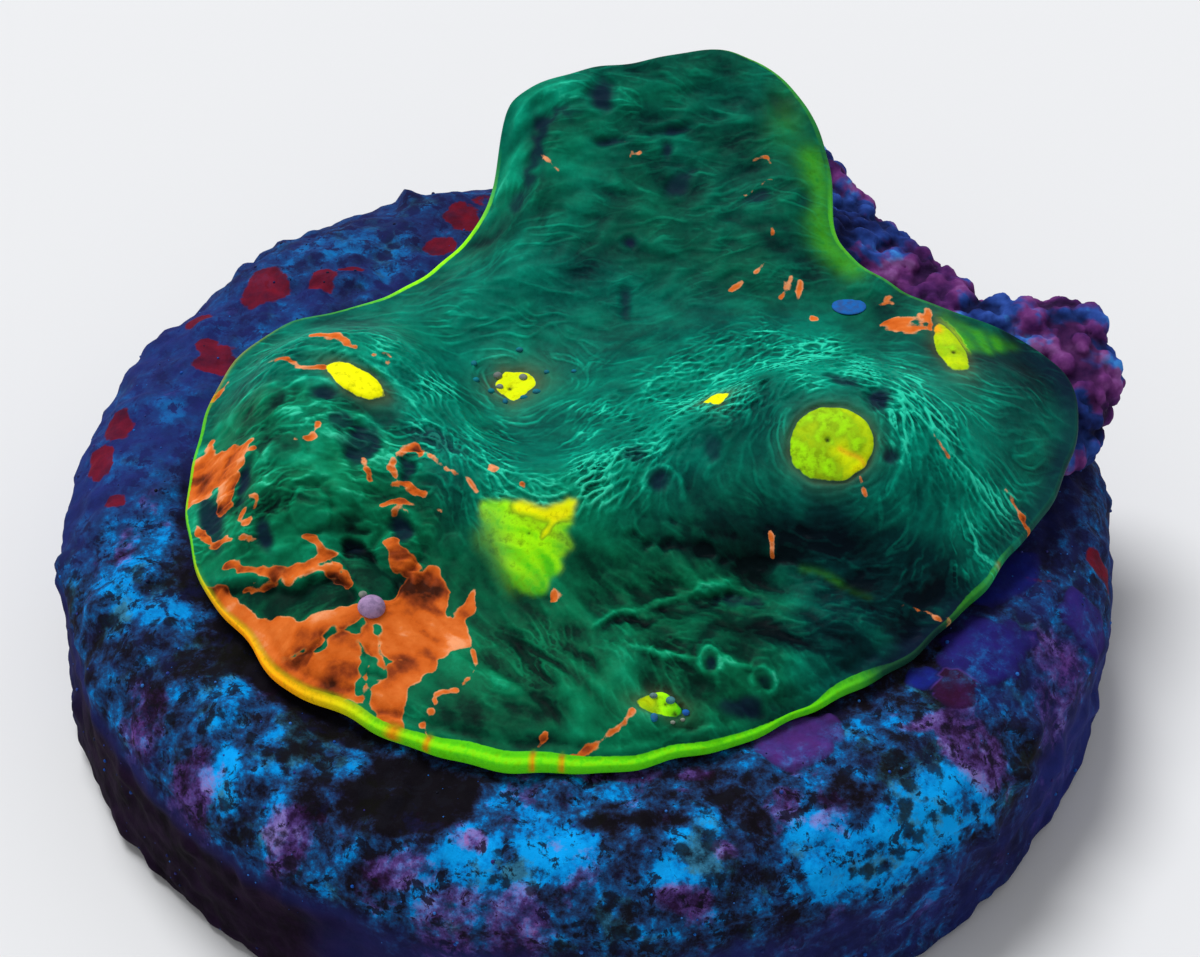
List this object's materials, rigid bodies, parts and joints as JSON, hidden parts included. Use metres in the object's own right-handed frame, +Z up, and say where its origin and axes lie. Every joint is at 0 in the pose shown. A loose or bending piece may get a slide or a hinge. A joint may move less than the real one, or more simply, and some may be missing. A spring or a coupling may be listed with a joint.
{
  "type": "chalice coral frag",
  "caption": "Encrusting chalice coral: a wrinkled plate with sunken eyes and a raised back lobe, grown on crusted rubble on a round flat-bottomed frag disc.",
  "frame": {"origin": "middle of the disc's flat underside, where it rests", "axes": "+Z up from the resting face, -Y towards the colony's low front margin, +Y towards the raised back lobe, +X to the right seen from the front"},
  "size_m": [0.0306, 0.03, 0.0124],
  "materials": {
    "crusted_ceramic": "rough, overgrown with blue and purple coralline crust and dark film",
    "crusted_rubble": "nodular, crusted in crimson and blue coralline algae",
    "coral_tissue": "moist wrinkled tissue over stony skeleton, teal with yellow-green eyes and margin and orange patches"
  },
  "bodies": {
    "root": {"frag_disc": "crusted_ceramic", "rubble_base": "crusted_rubble", "coral_colony": "coral_tissue"}
  },
  "joints": []
}
